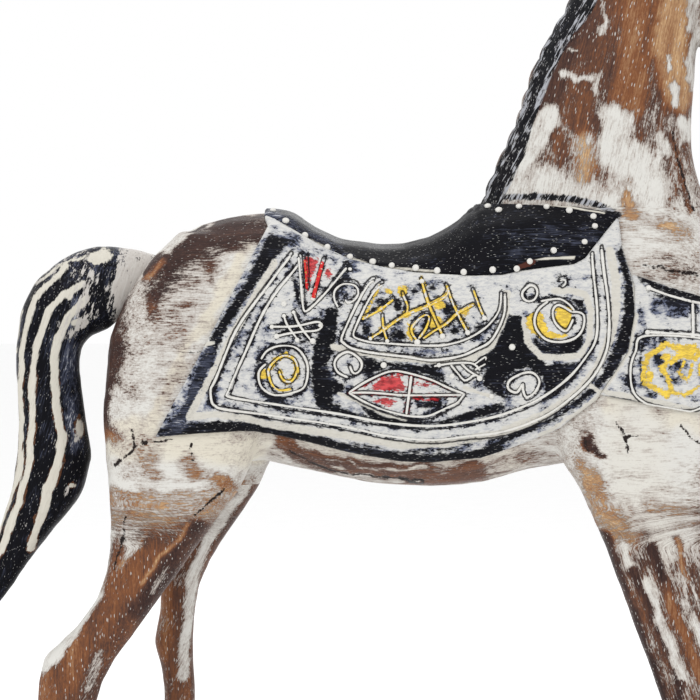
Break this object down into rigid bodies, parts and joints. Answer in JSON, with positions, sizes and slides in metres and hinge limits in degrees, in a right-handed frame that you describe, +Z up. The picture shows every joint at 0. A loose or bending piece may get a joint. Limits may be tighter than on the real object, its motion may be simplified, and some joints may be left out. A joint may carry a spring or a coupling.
{
  "type": "carved wooden horse figurine",
  "caption": "Standing carved horse figurine with bowed head, hanging tail and painted saddle blanket, for display on a shelf or table.",
  "frame": {"origin": "under the middle of the horse, on the plane of the hoof soles", "axes": "+X towards the horse's nose, +Z up, +Y towards the horse's left"},
  "size_m": [0.3635, 0.0864, 0.498],
  "materials": {
    "whitewashed_wood": "worn white wash brushed over dark brown wood, matt with a little wax",
    "leg_wood": "brown wood with thin streaks of white wash and rubbed edges",
    "tail_paint": "black paint with cream stripes over carved wood",
    "seat_paint": "black paint with open pores and raised white dots",
    "blanket_paint": "white, black, yellow and red paint with raised paint lines",
    "dowel_wood": "bare wood"
  },
  "bodies": {
    "root": {"torso_upper": "whitewashed_wood", "torso_lower": "whitewashed_wood", "neck": "whitewashed_wood", "head": "whitewashed_wood", "ear_right": "whitewashed_wood", "ear_left": "whitewashed_wood", "tail": "tail_paint", "hind_leg_right": "leg_wood", "hind_leg_left": "leg_wood", "fore_leg_right": "leg_wood", "fore_leg_left": "leg_wood", "saddle_seat": "seat_paint", "blanket_right": "blanket_paint", "blanket_left": "blanket_paint", "breast_strap": "blanket_paint", "torso_dowels": "dowel_wood", "neck_dowels": "dowel_wood", "head_dowels": "dowel_wood", "tail_dowel": "dowel_wood", "hind_leg_right_dowels": "dowel_wood", "hind_leg_left_dowels": "dowel_wood", "fore_leg_right_dowels": "dowel_wood", "fore_leg_left_dowels": "dowel_wood"}
  },
  "joints": []
}
